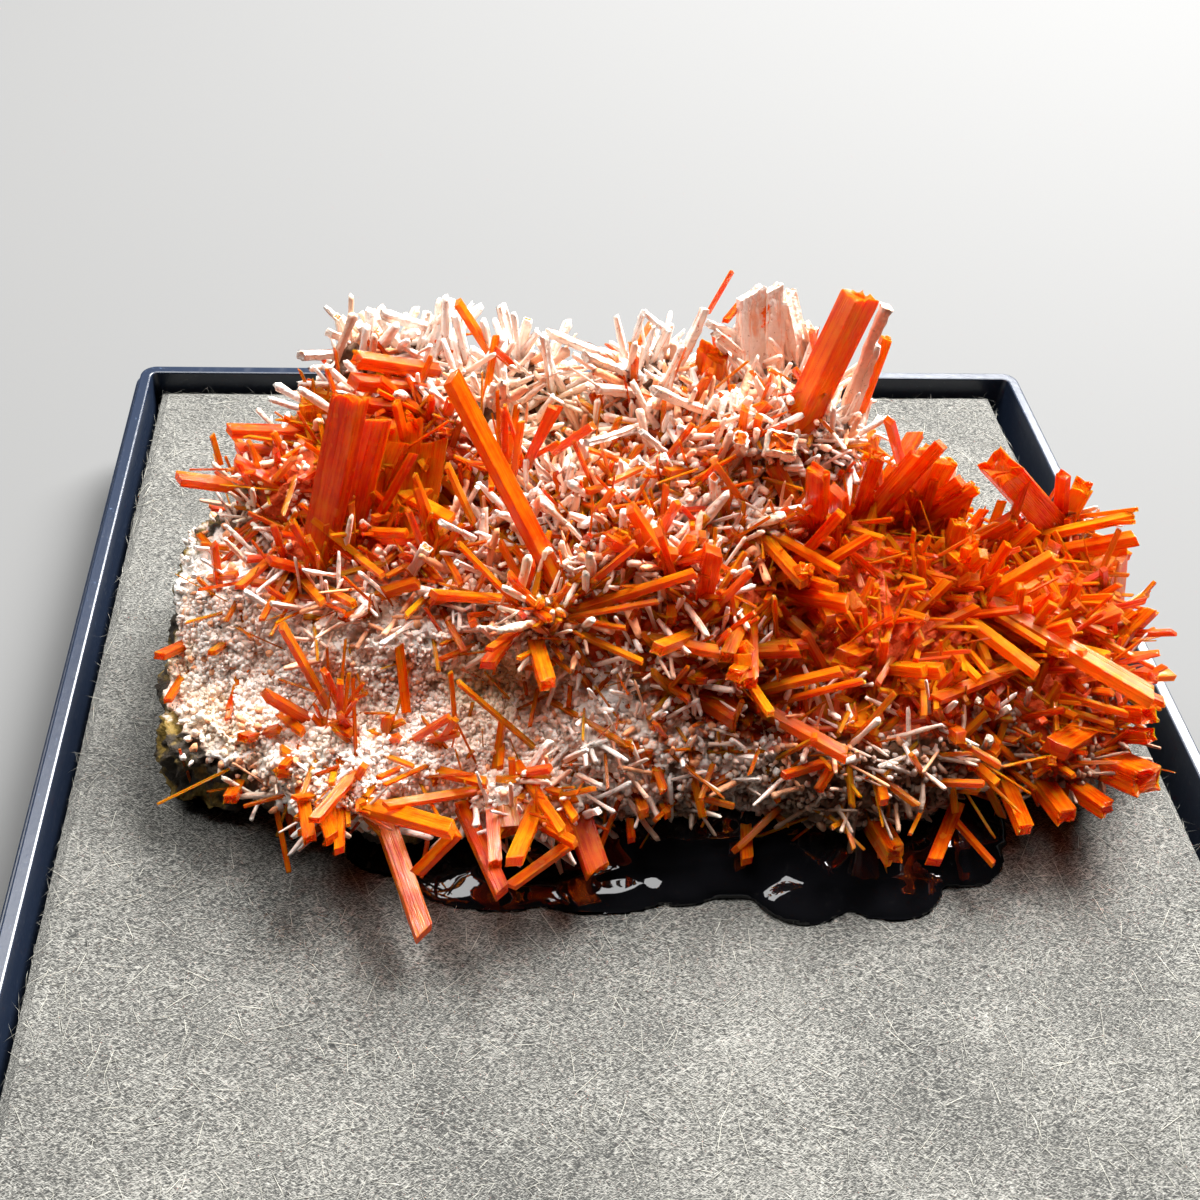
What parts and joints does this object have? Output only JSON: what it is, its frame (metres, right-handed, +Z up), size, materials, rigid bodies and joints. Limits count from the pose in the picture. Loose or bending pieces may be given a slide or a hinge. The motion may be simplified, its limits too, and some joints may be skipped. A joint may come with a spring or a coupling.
{
  "type": "crocoite crystal specimen in a display box base",
  "caption": "Crocoite specimen: orange-red prisms and white-coated needles on gossan matrix, held by black adhesive to the grey felt lining of a small dark plastic box base.",
  "frame": {"origin": "middle of the underside of the box base, on the surface it stands on", "axes": "+X to the right, +Y to the back of the box, +Z up"},
  "size_m": [0.076, 0.076, 0.0352],
  "materials": {
    "tray_plastic": "satin",
    "lining_felt": "fibrous",
    "adhesive_black": "glossy",
    "gossan": "rough",
    "crocoite": "vitreous",
    "coated_crystal": "matt"
  },
  "bodies": {
    "root": {"tray": "tray_plastic", "lining_pad": "lining_felt", "adhesive": "adhesive_black", "matrix": "gossan", "crocoite_left_blades": "crocoite", "crocoite_left_bars": "crocoite", "crocoite_stacked_blades": "crocoite", "crocoite_long_prism": "crocoite", "crocoite_centre_star": "crocoite", "crocoite_back_prisms": "crocoite", "crocoite_red_blade": "crocoite", "crocoite_right_blades": "crocoite", "crocoite_right_spray": "crocoite", "crocoite_glassy_prism": "crocoite", "crocoite_right_bundle": "crocoite", "crocoite_right_bars": "crocoite", "crocoite_right_end": "crocoite", "crocoite_centre_bars": "crocoite", "crocoite_centre_right_bars": "crocoite", "crocoite_ledge_spray": "crocoite", "crocoite_front_left_spray": "crocoite", "crocoite_front_spray": "crocoite", "coated_left_sprigs": "coated_crystal", "coated_back_sprigs": "coated_crystal", "coated_back_blades": "coated_crystal", "coated_upright_blades": "coated_crystal"}
  },
  "joints": []
}
